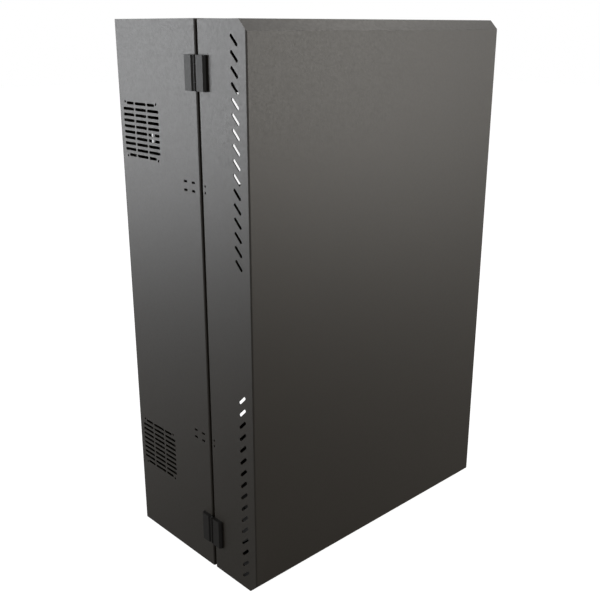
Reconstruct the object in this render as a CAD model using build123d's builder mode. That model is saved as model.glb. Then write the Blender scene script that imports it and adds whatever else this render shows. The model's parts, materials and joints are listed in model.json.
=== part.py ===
from build123d import *
import os
from math import cos, radians, sin

os.makedirs("parts", exist_ok=True)

# Wall mount network cabinet in millimetres: +Z up, +Y to the wall, -X the hinge side.
# The origin is the middle of the bottom face.

# Case
height = 1092
width = 696
depth = 392
door_depth = 131.6
seam = 6
door_lift = 1
sheet = 2
bend_radius = 3
rim = 20
weld_flange = 15

# Chamfer between the door's front and its top and bottom
chamfer_run = 19.2

# Diagonal vents down the door's sides, in two mirrored groups
vent_length = 25.4
vent_width = 6
vent_pitch = 25.4
vent_count = 16
vent_angle = 45
vent_setback = 32.2
vent_drop = 34.5

# Slotted grilles in the body's sides, each drilled for a 120 mm fan
grille_width = 120
grille_columns = 3
grille_web = 3.9
grille_rows = 10
grille_pitch = 11.13
grille_slot_height = 5.6
grille_corner_cut = 13
grille_setback = 71.8
grille_offset = 341.5
fan_hole_spacing = 105
fan_hole_radius = 2.5

# Latch holes on both sides, so that the door can hang from either side
latch_offset = 253.8
base_slot_setback = 33
base_slot_spacing = 24
base_slot_rise = 15.9
base_slot_length = 10.5
base_slot_width = 4.5
keeper_hole_setback = 8.6
keeper_hole_rise = 12
keeper_hole_radius = 2.3

# Rear panel
rear_opening = 203.2
rear_opening_corner = 10
rear_opening_offset = 293
wall_slot_x = 279.4
wall_slot_offset = 314.6
wall_slot_length = 25.4
wall_slot_width = 7
wall_bar_width = 40
wall_bar_thickness = 5
wall_bar_end = 60

# Cable entries in the top and the bottom, closed by plates from inside
port_length = 300
port_width = 80
port_corner = 6
port_setback = 100
cover_lap = 15
grommet_hole_radius = 25
grommet_spacing = 130
grommet_lip = 4
grommet_thickness = 6
grommet_wall = 3
grommet_bore_radius = 10
cover_stud_radius = 2.5
cover_stud_length = 12

# Slotted hat channels that carry the rack, a third of the way into the body
hat_place_share = 1 / 3
hat_web_width = 36
hat_depth = 21
hat_foot = 12
hat_end = 60
hat_slot_length = 16
hat_slot_width = 7
hat_slot_pitch = 50

# Nineteen inch rack, six units deep, equipment hanging between two pairs of rails
rack_unit = 44.45
rack_units = 6
rack_hole_spacing = 465.1
rack_opening = 450
rack_hole_side = 9.5
rack_hole_shares = (1 / 7, 1 / 2, 6 / 7)
rail_thickness = 2.5
rail_flange = 30
rail_leg = 40
rail_end_margin = 2
rail_wall_gap = 3
bracket_bolt_count = 2
free_slot_count = 1

# Gusset brackets between hat channels and rails
gusset_thickness = 2.5
gusset_rail_length = 200
gusset_shoulder = 10
gusset_bend_radius = 3.5
gusset_bolt_drop = 17
gusset_bolt_spacing = 75
gusset_edge = 12

# Hinges
hinge_height = 61
hinge_end_distance = 90
leaf_width = 27
leaf_thickness = 8
leaf_chamfer = 4
leaf_gap = 6.5
pin_standoff = 4.5
pin_radius = 1.5
pin_fit = 0.05
barrel_radius = 2.9
knuckle_length = 15
knuckle_gap = 0.3
web_depth = 2.5
hinge_stud_radius = 2.5
hinge_stud_length = 8
hinge_stud_spacing = 36

# Draw latches on the side away from the hinges
base_setback = 3.4
base_thickness = 2
base_length = 48
base_width = 30
base_corner = 4
ear_thickness = 2
ear_radius = 5
ear_spread = 24
latch_pin_radius = 2
latch_pin_height = 8
latch_pin_inset = 6
lever_thickness = 1.5
lever_play = 0.4
lever_length = 52
lever_top = 4
lever_wall_drop = 3
lever_web_start = 6
lever_flare = 7
lever_flare_rise = 5
throw_radius = 10
over_centre_angle = 10
lever_open_angle = 120
bail_lift_angle = 30
rod_radius = 2
rod_play = 0.3
rod_bend_radius = 2.6
rod_boss_radius = 3.8
keeper_setback = 14.1
keeper_gap = 0.5
keeper_thickness = 1.5
keeper_bend_radius = 2
keeper_length = 11.5
keeper_width = 26
keeper_hook_height = 9
keeper_bar_height = 4.6

# Soft strip and stiffeners of the door
gasket_inset = 5
gasket_width = 12
gasket_clearance = 0.3
stiffener_web = 30
stiffener_depth = 18
stiffener_foot = 14
stiffener_end = 60
stiffener_thickness = 1.5

# Fasteners
small_screw_radius = 2
small_head_radius = 3.5
small_head_height = 2.4
small_screw_length = 11
small_nut_across_flats = 7
small_nut_height = 3.2
bolt_radius = 3
bolt_head_radius = 5.5
bolt_head_height = 3.3
bolt_length = 14
stud_nut_across_flats = 8
stud_nut_height = 4
bolt_nut_across_flats = 10
bolt_nut_height = 5
fit = 0.05
head_taper = 25
nut_sides = 6
full_turn = 360

# Earth stud on the rear panel
earth_stud_radius = 3
earth_stud_length = 22
earth_stud_x = 150
earth_stud_z = 90
earth_washer_radius = 6
earth_washer_thickness = 1.6

# Sides of the polygons that stand for small rounds, to keep what repeats light
slot_end_sides = 12
fastener_sides = 8
rod_sides = 12
grommet_sides = 24

overrun = 10

# Places that follow from the sizes
front = -depth / 2
wall = depth / 2
door_rear = front + door_depth
body_front = door_rear + seam
seam_middle = (door_rear + body_front) / 2
side_x = width / 2
inner_x = side_x - sheet
mid_z = height / 2
door_bottom = door_lift
door_top = height - door_lift
panel_front = wall - sheet
middle_height = Plane.XY.offset(mid_z)
centre_plane = Plane.YZ


def facing_front(y):
    """Plane across the cabinet at y, seen from the front: local x is X, local y is Z."""
    return Plane(origin=(0, y, 0), x_dir=(1, 0, 0), z_dir=(0, -1, 0))


def bent_sheet(points, side, thickness=sheet, radius=bend_radius):
    """Section of a bent sheet, thickened to one side of its outer line."""
    with BuildSketch() as section:
        with BuildLine():
            FilletPolyline(*points, radius=radius)
            offset(amount=thickness, side=side)
        make_face()
    return section.sketch


def mirrored_heights(offset_from_middle):
    """Heights of a pair of features mirrored about the middle of the cabinet."""
    return mid_z + offset_from_middle, mid_z - offset_from_middle


def turned(piece, plane):
    """Copy of a piece mirrored about a plane."""
    with BuildPart() as copy:
        mirror(piece, about=plane)
    return copy.part


def save(piece, name):
    """Label a finished piece and write its STEP file."""
    piece.label = name
    export_step(piece, f"parts/{name}.step")


def punched_slot(length, width):
    """Slot of an overall length along local x, its round ends cut as short flats."""
    flat_up = full_turn / slot_end_sides / 2
    with BuildSketch() as slot:
        with GridLocations(length - width, 0, 2, 1):
            RegularPolygon(width / 2, slot_end_sides, rotation=flat_up, major_radius=False)
        Rectangle(length - width, width)
    return slot.sketch


def screw(radius, length, head_radius, head_height):
    """Pan head screw with its shank down -Z and its seat at the origin."""
    with BuildPart() as body:
        with BuildSketch():
            RegularPolygon(radius, fastener_sides)
        extrude(amount=-length)
        with BuildSketch():
            RegularPolygon(head_radius, fastener_sides)
        extrude(amount=head_height, taper=head_taper)
    return body.part


def nut(radius, across_flats, thickness):
    """Hexagon nut standing on the origin, its bore a fit on the thread."""
    with BuildPart() as body:
        with BuildSketch():
            RegularPolygon(across_flats / 2, nut_sides, major_radius=False)
            RegularPolygon(radius + fit, fastener_sides, major_radius=False, mode=Mode.SUBTRACT)
        extrude(amount=thickness)
    return body.part


def set_of(piece, places):
    """One node of identical pieces standing at the given planes."""
    with BuildPart() as group:
        with Locations(*[Location(place) for place in places]):
            add(piece)
    return group.part


def outward(x, y, z):
    """Plane at a point of a side wall, its normal pointing away from the cabinet."""
    return Plane(origin=(x, y, z), x_dir=(0, 1, 0), z_dir=(1 if x > 0 else -1, 0, 0))


def inward(x, y, z):
    """Plane at a point of a side wall, its normal pointing into the cabinet."""
    return Plane(origin=(x, y, z), x_dir=(0, 1, 0), z_dir=(-1 if x > 0 else 1, 0, 0))


# Top and bottom panels: rim flange in front, weld flanges down the sides, cable port
port_y = wall - port_setback
cover_length = port_length + 2 * cover_lap
cover_width = port_width + 2 * cover_lap
cover_stud_x = (port_length + cover_lap) / 2
cover_stud_y = (port_width + cover_lap) / 2

with BuildPart() as top_panel:
    with BuildSketch(Plane.YZ):
        add(bent_sheet([(body_front, height - rim), (body_front, height), (wall, height)], Side.RIGHT))
    extrude(amount=inner_x, both=True)
    with BuildSketch(facing_front(panel_front - weld_flange)):
        for side in (-1, 1):
            with Locations((side * inner_x, height)):
                Rectangle(sheet, weld_flange, align=(Align.MIN if side < 0 else Align.MAX, Align.MAX))
    extrude(amount=panel_front - weld_flange - body_front - sheet)
    with BuildSketch(Plane.XY.offset(height)):
        with Locations((0, port_y)):
            RectangleRounded(port_length, port_width, port_corner)
    extrude(amount=-sheet, mode=Mode.SUBTRACT)
save(top_panel.part, "top_panel")
bottom_panel = turned(top_panel.part, middle_height)
save(bottom_panel, "bottom_panel")

# Rear panel: a shallow tray between the other panels, with cable openings and wall slots
opening_heights = mirrored_heights(rear_opening_offset)
wall_slot_heights = mirrored_heights(wall_slot_offset)
wall_slots = [(side * wall_slot_x, z) for side in (-1, 1) for z in wall_slot_heights]
hinge_heights = mirrored_heights(mid_z - hinge_end_distance)
latch_heights = mirrored_heights(latch_offset)
grille_heights = mirrored_heights(grille_offset)

with BuildPart() as rear_panel:
    with BuildSketch(facing_front(wall)):
        with Locations((0, mid_z)):
            Rectangle(2 * inner_x, height - 2 * sheet)
    extrude(amount=sheet + weld_flange)
    with BuildSketch(facing_front(panel_front)):
        with Locations((0, mid_z)):
            Rectangle(2 * (inner_x - sheet), height - 4 * sheet)
    extrude(amount=weld_flange, mode=Mode.SUBTRACT)
    with BuildSketch(facing_front(wall)):
        with Locations(*[(0, z) for z in opening_heights]):
            RectangleRounded(rear_opening, rear_opening, rear_opening_corner)
        with Locations(*wall_slots):
            SlotOverall(wall_slot_length, wall_slot_width, rotation=90)
        with Locations((earth_stud_x, earth_stud_z)):
            Circle(earth_stud_radius + fit)
    extrude(amount=sheet, mode=Mode.SUBTRACT)
save(rear_panel.part, "rear_panel")

# Wall bars spread the load of the wall bolts over the rear panel
bar_length = 2 * (wall_slot_offset + wall_bar_end)
with BuildPart() as wall_bar_right:
    with BuildSketch(facing_front(panel_front)):
        with Locations((wall_slot_x, mid_z)):
            RectangleRounded(wall_bar_width, bar_length, port_corner)
        with Locations(*[(wall_slot_x, z) for z in wall_slot_heights]):
            SlotOverall(wall_slot_length, wall_slot_width, rotation=90, mode=Mode.SUBTRACT)
    extrude(amount=wall_bar_thickness)
save(wall_bar_right.part, "wall_bar_right")
save(turned(wall_bar_right.part, centre_plane), "wall_bar_left")

# Hinge places
pin_x = -side_x - pin_standoff
leaf_inset = (leaf_gap + leaf_width) / 2
hinge_stud_rises = (-hinge_stud_spacing / 2, hinge_stud_spacing / 2)
body_studs = [(seam_middle + leaf_inset, z + rise) for z in hinge_heights for rise in hinge_stud_rises]
door_studs = [(seam_middle - leaf_inset, z + rise) for z in hinge_heights for rise in hinge_stud_rises]

# Side panels: rim flange in front, grilles, latch slots
grille_y = wall - grille_setback
base_slot_y = body_front + base_slot_setback
slot_span = (grille_width - (grille_columns - 1) * grille_web) / grille_columns
column_pitch = slot_span + grille_web
outer_span = slot_span - grille_corner_cut
grille_columns_y = [(column - (grille_columns - 1) / 2) * column_pitch for column in range(grille_columns)]
grille_rows_z = [(row - (grille_rows - 1) / 2) * grille_pitch for row in range(grille_rows)]
base_slots = [
    (base_slot_y + along * base_slot_spacing / 2, z + up * base_slot_rise / 2)
    for z in latch_heights
    for along in (-1, 1)
    for up in (-1, 1)
]


def grille_cut():
    """Outline of one fan grille about its centre."""
    long_slot = punched_slot(slot_span, grille_slot_height)
    short_slot = punched_slot(outer_span, grille_slot_height)
    with BuildSketch() as cut:
        for row_z in grille_rows_z:
            outer_row = row_z in (grille_rows_z[0], grille_rows_z[-1])
            for column_y in grille_columns_y:
                outer_column = outer_row and column_y in (grille_columns_y[0], grille_columns_y[-1])
                shift = grille_corner_cut / 2 if outer_column else 0
                centre_y = column_y - shift if column_y > 0 else column_y + shift
                with Locations((centre_y, row_z)):
                    add(short_slot if outer_column else long_slot)
        with GridLocations(fan_hole_spacing, fan_hole_spacing, 2, 2):
            Circle(fan_hole_radius)
    return cut.sketch


with BuildPart() as side_panel_right:
    with BuildSketch():
        add(bent_sheet([(side_x - rim, body_front), (side_x, body_front), (side_x, wall)], Side.LEFT))
    extrude(amount=height)
    add(top_panel.part, mode=Mode.SUBTRACT)
    add(bottom_panel, mode=Mode.SUBTRACT)
    with BuildSketch(Plane.YZ.offset(side_x)):
        with Locations(*[(grille_y, z) for z in grille_heights]):
            add(grille_cut())
        with Locations(*base_slots):
            SlotOverall(base_slot_length, base_slot_width)
    extrude(amount=-sheet, mode=Mode.SUBTRACT)
with BuildPart() as side_panel_left:
    mirror(side_panel_right.part, about=centre_plane)
    with BuildSketch(Plane.YZ.offset(-side_x)):
        with Locations(*body_studs):
            Circle(hinge_stud_radius + fit)
    extrude(amount=sheet, mode=Mode.SUBTRACT)
save(side_panel_left.part, "side_panel_left")
save(side_panel_right.part, "side_panel_right")

# Cable covers, held from inside by studs and nuts, each with two rubber grommets
cover_z = height - sheet
cover_studs = [(x * cover_stud_x, port_y + y * cover_stud_y) for x in (-1, 1) for y in (-1, 1)]
grommet_places = [(-grommet_spacing / 2, port_y), (grommet_spacing / 2, port_y)]

with BuildPart() as cable_cover_top:
    with BuildSketch(Plane.XY.offset(cover_z)):
        with Locations((0, port_y)):
            RectangleRounded(cover_length, cover_width, port_corner)
        with Locations(*cover_studs):
            RegularPolygon(cover_stud_radius + fit, fastener_sides, major_radius=False, mode=Mode.SUBTRACT)
        with Locations(*grommet_places):
            RegularPolygon(grommet_hole_radius, grommet_sides, mode=Mode.SUBTRACT)
    extrude(amount=-sheet)
save(cable_cover_top.part, "cable_cover_top")
save(turned(cable_cover_top.part, middle_height), "cable_cover_bottom")

with BuildPart() as grommet:
    with BuildSketch(Plane.XY.offset(-grommet_thickness / 2)):
        RegularPolygon(grommet_hole_radius + grommet_lip, grommet_sides)
    extrude(amount=grommet_thickness)
    with BuildSketch():
        RegularPolygon(grommet_hole_radius + grommet_lip, grommet_sides)
        RegularPolygon(grommet_hole_radius, grommet_sides, mode=Mode.SUBTRACT)
    extrude(amount=sheet / 2, both=True, mode=Mode.SUBTRACT)
    for way in (-1, 1):
        with BuildSketch(Plane.XY.offset(way * grommet_wall / 2)):
            RegularPolygon(grommet_hole_radius - grommet_wall, grommet_sides)
        extrude(amount=way * grommet_thickness, mode=Mode.SUBTRACT)
    with BuildSketch():
        Circle(grommet_bore_radius)
    extrude(amount=grommet_thickness, both=True, mode=Mode.SUBTRACT)
grommets_top = set_of(
    grommet.part, [Plane(origin=(x, y, cover_z - sheet / 2)) for x, y in grommet_places]
)
save(grommets_top, "grommets_top")
save(turned(grommets_top, middle_height), "grommets_bottom")

with BuildPart() as cover_stud:
    with BuildSketch(Plane.XY.offset(cover_z)):
        RegularPolygon(cover_stud_radius, fastener_sides)
    extrude(amount=-cover_stud_length)
with BuildPart() as cover_studs_top:
    with Locations(*[(x, y, 0) for x, y in cover_studs]):
        add(cover_stud.part)
cover_nut = nut(cover_stud_radius, stud_nut_across_flats, stud_nut_height)
nut_z = cover_z - sheet - stud_nut_height
cover_nuts_top = set_of(cover_nut, [Plane(origin=(x, y, nut_z)) for x, y in cover_studs])
save(cover_studs_top.part, "cover_studs_top")
save(turned(cover_studs_top.part, middle_height), "cover_studs_bottom")
save(cover_nuts_top, "cover_nuts_top")
save(turned(cover_nuts_top, middle_height), "cover_nuts_bottom")

# Hat channels welded to the side panels in front of the grilles
hat_y = body_front + hat_place_share * (wall - body_front)
hat_length = height - 2 * hat_end
hat_slot_count = int(hat_length / hat_slot_pitch) - 1
hat_face_x = inner_x - hat_depth
hat_points = [
    (inner_x, hat_y - hat_web_width / 2 - hat_foot),
    (inner_x, hat_y - hat_web_width / 2),
    (hat_face_x, hat_y - hat_web_width / 2),
    (hat_face_x, hat_y + hat_web_width / 2),
    (inner_x, hat_y + hat_web_width / 2),
    (inner_x, hat_y + hat_web_width / 2 + hat_foot),
]

with BuildPart() as hat_channel_right:
    with BuildSketch(Plane.XY.offset(hat_end)):
        add(bent_sheet(hat_points, Side.LEFT))
    extrude(amount=hat_length)
    with BuildSketch(Plane.YZ.offset(hat_face_x - overrun)):
        with Locations((hat_y, mid_z)):
            with GridLocations(hat_slot_pitch, hat_slot_pitch, 1, hat_slot_count):
                Rectangle(hat_slot_width, hat_slot_length)
    extrude(amount=overrun + hat_depth / 2, mode=Mode.SUBTRACT)
save(hat_channel_right.part, "hat_channel_right")
save(turned(hat_channel_right.part, centre_plane), "hat_channel_left")

# Rack rails: an angle with the equipment holes in its flat flange
rail_rear = panel_front - rail_wall_gap
rail_length = rack_units * rack_unit + 2 * rail_end_margin
rail_front = rail_rear - rail_length
rail_inner_x = rack_opening / 2
rail_outer_x = rail_inner_x + rail_flange
rack_start_y = rail_front + rail_end_margin
rack_holes = [
    (rack_hole_spacing / 2, rack_start_y + (unit + share) * rack_unit)
    for unit in range(rack_units)
    for share in rack_hole_shares
]
slot_grid_z = [mid_z + (step - (hat_slot_count - 1) / 2) * hat_slot_pitch for step in range(hat_slot_count)]
upper_slots = slot_grid_z[-bracket_bolt_count:]
lower_slots = slot_grid_z[free_slot_count : free_slot_count + bracket_bolt_count]
rail_heights = {"upper": upper_slots[-1] + gusset_bolt_drop, "lower": lower_slots[-1] + gusset_bolt_drop}
rail_bolts_y = [hat_y + step * gusset_bolt_spacing for step in (-1, 0, 1)]
hat_outer_x = hat_face_x - sheet
gusset_face_x = hat_outer_x - gusset_thickness
leg_bolt_rise = rail_leg / 2
tab_drop = gusset_bolt_drop + hat_slot_pitch + gusset_edge

for level, rail_z in rail_heights.items():
    with BuildPart() as rail:
        rail_line = [(rail_inner_x, rail_z), (rail_outer_x, rail_z), (rail_outer_x, rail_z + rail_leg)]
        with BuildSketch(facing_front(rail_rear)):
            add(bent_sheet(rail_line, Side.LEFT, rail_thickness, gusset_bend_radius))
        extrude(amount=rail_length)
        with BuildSketch(Plane.XY.offset(rail_z)):
            with Locations(*rack_holes):
                Rectangle(rack_hole_side, rack_hole_side)
        extrude(amount=rail_thickness, mode=Mode.SUBTRACT)
        with BuildSketch(Plane.YZ.offset(rail_outer_x)):
            with Locations(*[(y, rail_z + leg_bolt_rise) for y in rail_bolts_y]):
                Circle(bolt_radius + fit)
        extrude(amount=-rail_thickness, mode=Mode.SUBTRACT)
    save(rail.part, f"rail_{level}_right")
    save(turned(rail.part, centre_plane), f"rail_{level}_left")

    with BuildPart() as gusset:
        gusset_line = [
            (rail_outer_x, rail_z + rail_leg),
            (rail_outer_x, rail_z),
            (gusset_face_x, rail_z),
            (gusset_face_x, rail_z - tab_drop),
        ]
        with BuildSketch(facing_front(hat_y)):
            add(bent_sheet(gusset_line, Side.LEFT, gusset_thickness, gusset_bend_radius))
        extrude(amount=gusset_rail_length / 2, both=True)
        with BuildSketch(Plane.XY.offset(rail_z - tab_drop)):
            with BuildLine():
                Polyline(
                    (rail_outer_x, hat_y - gusset_rail_length / 2),
                    (rail_outer_x + gusset_shoulder, hat_y - gusset_rail_length / 2),
                    (gusset_face_x - gusset_shoulder, hat_y - hat_web_width / 2),
                    (hat_outer_x, hat_y - hat_web_width / 2),
                    (hat_outer_x, hat_y + hat_web_width / 2),
                    (gusset_face_x - gusset_shoulder, hat_y + hat_web_width / 2),
                    (rail_outer_x + gusset_shoulder, hat_y + gusset_rail_length / 2),
                    (rail_outer_x, hat_y + gusset_rail_length / 2),
                    close=True,
                )
            make_face()
        extrude(amount=tab_drop + rail_leg, mode=Mode.INTERSECT)
        with BuildSketch(Plane.YZ.offset(rail_outer_x)):
            with Locations(*[(y, rail_z + leg_bolt_rise) for y in rail_bolts_y]):
                Circle(bolt_radius + fit)
        extrude(amount=gusset_thickness, mode=Mode.SUBTRACT)
        with BuildSketch(Plane.YZ.offset(gusset_face_x)):
            slots_z = upper_slots if level == "upper" else lower_slots
            with Locations(*[(hat_y, z) for z in slots_z]):
                Circle(bolt_radius + fit)
        extrude(amount=gusset_thickness, mode=Mode.SUBTRACT)
    save(gusset.part, f"rail_bracket_{level}_right")
    save(turned(gusset.part, centre_plane), f"rail_bracket_{level}_left")

# Bolts and nuts of the rails and their brackets
bolt = screw(bolt_radius, bolt_length, bolt_head_radius, bolt_head_height)
bolt_nut = nut(bolt_radius, bolt_nut_across_flats, bolt_nut_height)
leg_bolts = [(y, z + leg_bolt_rise) for z in rail_heights.values() for y in rail_bolts_y]
tab_bolts = [(hat_y, z) for z in upper_slots + lower_slots]
leg_inner_x = rail_outer_x - rail_thickness
leg_nut_x = rail_outer_x + gusset_thickness
bolt_places = [inward(side * leg_inner_x, y, z) for side in (-1, 1) for y, z in leg_bolts]
bolt_places += [inward(side * gusset_face_x, y, z) for side in (-1, 1) for y, z in tab_bolts]
nut_places = [outward(side * leg_nut_x, y, z) for side in (-1, 1) for y, z in leg_bolts]
nut_places += [outward(side * hat_face_x, y, z) for side in (-1, 1) for y, z in tab_bolts]
save(set_of(bolt, bolt_places), "rail_bolts")
save(set_of(bolt_nut, nut_places), "rail_nuts")

# Earth stud with its washers and nuts
earth_place = (earth_stud_x, wall, earth_stud_z)
with BuildPart() as earth_stud:
    with BuildSketch(Plane(origin=earth_place, x_dir=(1, 0, 0), z_dir=(0, -1, 0))):
        RegularPolygon(earth_stud_radius, fastener_sides)
    extrude(amount=earth_stud_length)
save(earth_stud.part, "earth_stud")
with BuildPart() as earth_washer:
    with BuildSketch():
        RegularPolygon(earth_washer_radius, rod_sides)
        RegularPolygon(earth_stud_radius + fit, fastener_sides, major_radius=False, mode=Mode.SUBTRACT)
    extrude(amount=earth_washer_thickness)
earth_nut = nut(earth_stud_radius, bolt_nut_across_flats, bolt_nut_height)
stack_pitch = earth_washer_thickness + bolt_nut_height
washer_seats = [panel_front, panel_front - stack_pitch]
nut_seats = [y - earth_washer_thickness for y in washer_seats]


def on_earth_stud(y):
    """Plane on the earth stud at y, facing into the cabinet."""
    return Plane(origin=(earth_stud_x, y, earth_stud_z), x_dir=(1, 0, 0), z_dir=(0, -1, 0))


save(set_of(earth_nut, [on_earth_stud(y) for y in nut_seats]), "earth_nuts")
save(set_of(earth_washer.part, [on_earth_stud(y) for y in washer_seats]), "earth_washers")

# Door: caps with the chamfers, and one folded skin between them
with BuildPart() as door_cap_top:
    cap_line = [
        (front, door_top - chamfer_run),
        (front + chamfer_run, door_top),
        (door_rear, door_top),
        (door_rear, door_top - rim),
    ]
    with BuildSketch(Plane.YZ):
        add(bent_sheet(cap_line, Side.RIGHT))
    extrude(amount=inner_x, both=True)
door_cap_bottom = turned(door_cap_top.part, middle_height)
save(door_cap_top.part, "door_cap_top")
save(door_cap_bottom, "door_cap_bottom")

vent_y = front + vent_setback
upper_vents = [(vent_y, height - vent_drop - step * vent_pitch) for step in range(vent_count)]
lower_vents = [(vent_y, vent_drop + step * vent_pitch) for step in range(vent_count)]
keeper_hole_y = door_rear - keeper_hole_setback
keeper_holes = [(keeper_hole_y, z + up * keeper_hole_rise / 2) for z in latch_heights for up in (-1, 1)]

vent = punched_slot(vent_length, vent_width)

with BuildPart() as door_skin:
    skin_line = [
        (rim - side_x, door_rear),
        (-side_x, door_rear),
        (-side_x, front),
        (side_x, front),
        (side_x, door_rear),
        (side_x - rim, door_rear),
    ]
    with BuildSketch(Plane.XY.offset(door_bottom)):
        add(bent_sheet(skin_line, Side.LEFT))
    extrude(amount=door_top - door_bottom)
    with BuildSketch(Plane.YZ):
        for edge_z, inwards in ((door_top, -1), (door_bottom, 1)):
            with BuildLine():
                Polyline(
                    (front, edge_z),
                    (front + chamfer_run, edge_z),
                    (front, edge_z + inwards * chamfer_run),
                    close=True,
                )
            make_face()
    extrude(amount=side_x, both=True, mode=Mode.SUBTRACT)
    add(door_cap_top.part, mode=Mode.SUBTRACT)
    add(door_cap_bottom, mode=Mode.SUBTRACT)
    with BuildSketch(Plane.YZ):
        with Locations(*upper_vents):
            add(vent, rotation=vent_angle)
        with Locations(*lower_vents):
            add(vent, rotation=-vent_angle)
        with Locations(*keeper_holes):
            Circle(keeper_hole_radius)
    extrude(amount=side_x, both=True, mode=Mode.SUBTRACT)
    with BuildSketch(Plane.YZ.offset(-side_x)):
        with Locations(*door_studs):
            Circle(hinge_stud_radius + fit)
    extrude(amount=sheet, mode=Mode.SUBTRACT)
save(door_skin.part, "door_skin")

with BuildPart() as door_gasket:
    with BuildSketch(facing_front(body_front - gasket_clearance)):
        with Locations((0, mid_z)):
            gasket_outer_x = 2 * (side_x - gasket_inset)
            gasket_outer_z = door_top - door_bottom - 2 * gasket_inset
            Rectangle(gasket_outer_x, gasket_outer_z)
            Rectangle(gasket_outer_x - 2 * gasket_width, gasket_outer_z - 2 * gasket_width, mode=Mode.SUBTRACT)
    extrude(amount=seam - gasket_clearance)
save(door_gasket.part, "door_gasket")

stiffener_x = width / 4
stiffener_y = front + sheet
with BuildPart() as door_stiffener_right:
    stiffener_line = [
        (stiffener_x - stiffener_web / 2 - stiffener_foot, stiffener_y),
        (stiffener_x - stiffener_web / 2, stiffener_y),
        (stiffener_x - stiffener_web / 2, stiffener_y + stiffener_depth),
        (stiffener_x + stiffener_web / 2, stiffener_y + stiffener_depth),
        (stiffener_x + stiffener_web / 2, stiffener_y),
        (stiffener_x + stiffener_web / 2 + stiffener_foot, stiffener_y),
    ]
    with BuildSketch(Plane.XY.offset(stiffener_end)):
        add(bent_sheet(stiffener_line, Side.LEFT, stiffener_thickness))
    extrude(amount=height - 2 * stiffener_end)
save(door_stiffener_right.part, "door_stiffener_right")
save(turned(door_stiffener_right.part, centre_plane), "door_stiffener_left")

# Hinges: chamfered leaves, three interleaved knuckles on a pin
hinge_base_z = hinge_heights[0] - hinge_height / 2
leaf_face_x = -side_x - leaf_thickness
leaf_shoulder_x = leaf_face_x + leaf_chamfer
barrel_inner_x = pin_x + barrel_radius
middle_knuckle = hinge_height - 2 * (knuckle_length + knuckle_gap)
knuckles = {
    "body": ((hinge_base_z, knuckle_length), (hinge_base_z + hinge_height - knuckle_length, knuckle_length)),
    "door": ((hinge_base_z + knuckle_length + knuckle_gap, middle_knuckle),),
}

for owner, way in (("body", 1), ("door", -1)):
    inner_edge = seam_middle + way * leaf_gap / 2
    outer_edge = inner_edge + way * leaf_width
    with BuildPart() as leaf:
        with BuildSketch(Plane.XY.offset(hinge_base_z)):
            with BuildLine():
                Polyline(
                    (-side_x, inner_edge),
                    (leaf_shoulder_x, inner_edge),
                    (leaf_face_x, inner_edge + way * leaf_chamfer),
                    (leaf_face_x, outer_edge - way * leaf_chamfer),
                    (leaf_shoulder_x, outer_edge),
                    (-side_x, outer_edge),
                    close=True,
                )
            make_face()
        extrude(amount=hinge_height)
        for knuckle_z, length in knuckles[owner]:
            with BuildSketch(Plane.XY.offset(knuckle_z)):
                with Locations((pin_x, seam_middle)):
                    Circle(barrel_radius)
                with Locations((barrel_inner_x, (seam_middle + inner_edge) / 2)):
                    Rectangle(web_depth, leaf_gap / 2, align=(Align.MAX, Align.CENTER))
            extrude(amount=length)
            with BuildSketch(Plane.XY.offset(knuckle_z)):
                with Locations((pin_x, seam_middle)):
                    Circle(pin_radius + pin_fit)
            extrude(amount=length, mode=Mode.SUBTRACT)
        with BuildSketch(Plane.YZ.offset(-side_x)):
            leaf_y = (inner_edge + outer_edge) / 2
            with Locations(*[(leaf_y, hinge_heights[0] + rise) for rise in hinge_stud_rises]):
                RegularPolygon(hinge_stud_radius, fastener_sides)
        extrude(amount=hinge_stud_length)
    save(leaf.part, f"hinge_{owner}_leaf_upper")
    save(turned(leaf.part, middle_height), f"hinge_{owner}_leaf_lower")

with BuildPart() as hinge_pin:
    with BuildSketch(Plane.XY.offset(hinge_base_z)):
        with Locations((pin_x, seam_middle)):
            Circle(pin_radius)
    extrude(amount=hinge_height)
save(hinge_pin.part, "hinge_pin_upper")
save(turned(hinge_pin.part, middle_height), "hinge_pin_lower")
hinge_nut = nut(hinge_stud_radius, stud_nut_across_flats, stud_nut_height)
save(set_of(hinge_nut, [inward(-inner_x, y, z) for y, z in body_studs]), "hinge_nuts_body")
save(set_of(hinge_nut, [inward(-inner_x, y, z) for y, z in door_studs]), "hinge_nuts_door")

# Draw latches: places of the pin, the throw of the bail and its bar on the keeper
base_front = body_front + base_setback
latch_x = side_x + latch_pin_height
latch_y = base_front + latch_pin_inset
keeper_face = door_rear - keeper_setback
bar_x = side_x + keeper_bar_height
bar_y = keeper_face - keeper_gap - rod_radius


def throw_point(turn):
    """Centre of the bail's bearing, its crank turned outwards from the wall side."""
    return latch_x + throw_radius * sin(radians(turn)), latch_y + throw_radius * cos(radians(turn))


shut_x, shut_y = throw_point(-over_centre_angle)
bail_vector = Vector(bar_x - shut_x, bar_y - shut_y, 0)
bail_length = bail_vector.length
bail_direction = bail_vector.rotate(Axis.Z, bail_lift_angle).normalized()
lever_direction = Vector(sin(radians(lever_open_angle)), cos(radians(lever_open_angle)), 0)
open_x, open_y = throw_point(lever_open_angle - over_centre_angle)
crank_x = throw_radius * cos(radians(over_centre_angle))
crank_y = -throw_radius * sin(radians(over_centre_angle))
wall_inner = ear_spread / 2 + lever_play
wall_outer = wall_inner + lever_thickness
arm_z = wall_outer + rod_play + rod_bend_radius
stub_z = wall_inner - rod_play
web_bottom = lever_top - lever_thickness

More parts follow.
